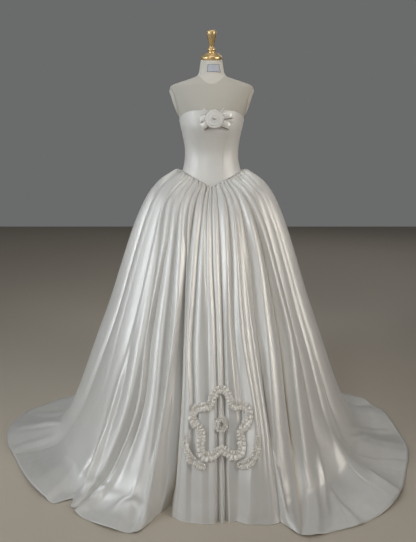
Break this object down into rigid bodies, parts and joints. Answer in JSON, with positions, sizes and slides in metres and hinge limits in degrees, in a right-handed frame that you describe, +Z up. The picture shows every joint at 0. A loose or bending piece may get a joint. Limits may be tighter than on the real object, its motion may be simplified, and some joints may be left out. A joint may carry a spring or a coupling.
{
  "type": "wedding dress on dress form",
  "caption": "Ivory satin strapless ball gown with dropped waist, gathered skirt, short train and ribbon rosette, on a limbless dress form with a turned neck cap.",
  "frame": {"origin": "centre of the underside of the dress form's round foot, on the floor", "axes": "+Z up, -Y the gown's front, +X the gown's left side as worn"},
  "size_m": [1.6643, 1.7119, 1.7362],
  "materials": {
    "satin": "heavy ivory satin with a soft sheen",
    "ribbon": "cream satin ribbon",
    "form_cloth": "matt cream cotton jersey",
    "plate_cloth": "matt cream cotton, a shade lighter",
    "gold": "satin gold paint on turned wood",
    "pole_steel": "brushed",
    "base_black": "satin black",
    "pearl": "pearl lustre",
    "label": "woven label, bare"
  },
  "bodies": {
    "root": {"bodice_front": "satin", "bodice_side_front_left": "satin", "bodice_side_front_right": "satin", "bodice_side_back_left": "satin", "bodice_side_back_right": "satin", "bodice_back_left": "satin", "bodice_back_right": "satin", "skirt_front": "satin", "skirt_side_left": "satin", "skirt_side_right": "satin", "skirt_back_left": "satin", "skirt_back_right": "satin", "flower": "satin", "bow_loop_left": "ribbon", "bow_loop_right": "ribbon", "bow_loop_top": "ribbon", "bow_tail_low_left": "ribbon", "bow_tail_low_right": "ribbon", "bow_tail_right": "ribbon", "bow_tail_up_left": "ribbon", "bow_tail_up_right": "ribbon", "applique_petals": "ribbon", "applique_heart": "ribbon", "applique_leaf_left": "ribbon", "applique_leaf_right": "ribbon", "form_torso": "form_cloth", "form_arm_plate_left": "plate_cloth", "form_arm_plate_right": "plate_cloth", "form_neck_cap": "gold", "form_handle": "gold", "form_pole": "pole_steel", "form_base": "base_black", "flower_bead": "pearl", "form_label": "label"}
  },
  "joints": []
}
